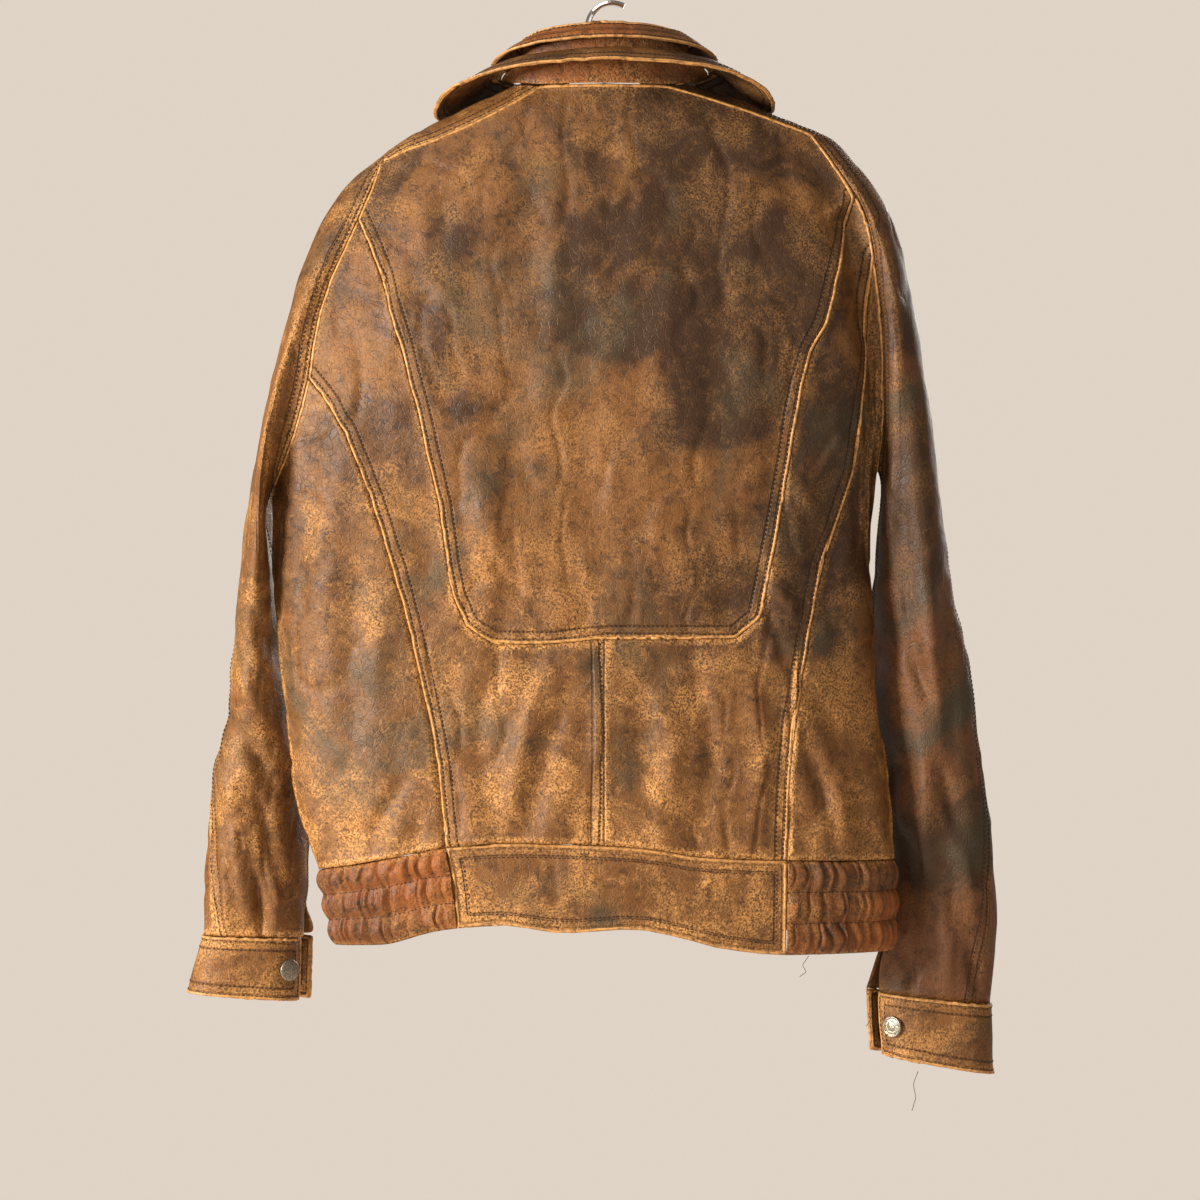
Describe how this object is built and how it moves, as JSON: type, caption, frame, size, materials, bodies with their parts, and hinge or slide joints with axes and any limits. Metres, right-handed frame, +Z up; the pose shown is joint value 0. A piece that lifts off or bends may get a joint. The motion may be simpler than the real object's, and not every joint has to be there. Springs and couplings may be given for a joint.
{
  "type": "worn leather jacket on a hanger",
  "caption": "Waist-length leather jacket hung on a plain hanger: saddle sleeves, double collar, shaped back panels, ruched elastic hem sides and open snap cuffs.",
  "frame": {"origin": "underside of the hook's crown, where the hanger hangs on its rail", "axes": "+Z up, +Y out of the jacket's back, +X to the wearer's left"},
  "size_m": [0.6486, 0.1784, 0.8494],
  "materials": {
    "brown_leather": "distressed mid brown, tan where rubbed, soft sheen",
    "sleeve_leather": "distressed darker brown, tan at the seams",
    "red_brown_leather": "smooth red-brown, little worn",
    "snap_metal": "antiqued, dull in the recesses",
    "hanger_plastic": "matte dark",
    "hook_chrome": "polished wire"
  },
  "bodies": {
    "root": {"back_center": "brown_leather", "back_lower_left": "brown_leather", "back_lower_right": "brown_leather", "back_side_left": "brown_leather", "back_side_right": "brown_leather", "front_left": "brown_leather", "front_right": "brown_leather", "front_fly": "brown_leather", "sleeve_top_left": "sleeve_leather", "sleeve_under_left": "sleeve_leather", "sleeve_top_right": "sleeve_leather", "sleeve_under_right": "sleeve_leather", "cuff_left": "sleeve_leather", "cuff_right": "sleeve_leather", "collar_outer": "brown_leather", "collar_stand": "red_brown_leather", "collar_inner": "red_brown_leather", "waist_back": "brown_leather", "waist_front_left": "brown_leather", "waist_front_right": "brown_leather", "waist_elastic_left": "red_brown_leather", "waist_elastic_right": "red_brown_leather", "snap_cap_left": "snap_metal", "snap_stud_left": "snap_metal", "snap_cap_right": "snap_metal", "snap_stud_right": "snap_metal", "fly_snap_1": "snap_metal", "fly_snap_2": "snap_metal", "fly_snap_3": "snap_metal", "fly_snap_4": "snap_metal", "fly_snap_5": "snap_metal", "hanger": "hanger_plastic", "hanger_hook": "hook_chrome"}
  },
  "joints": []
}
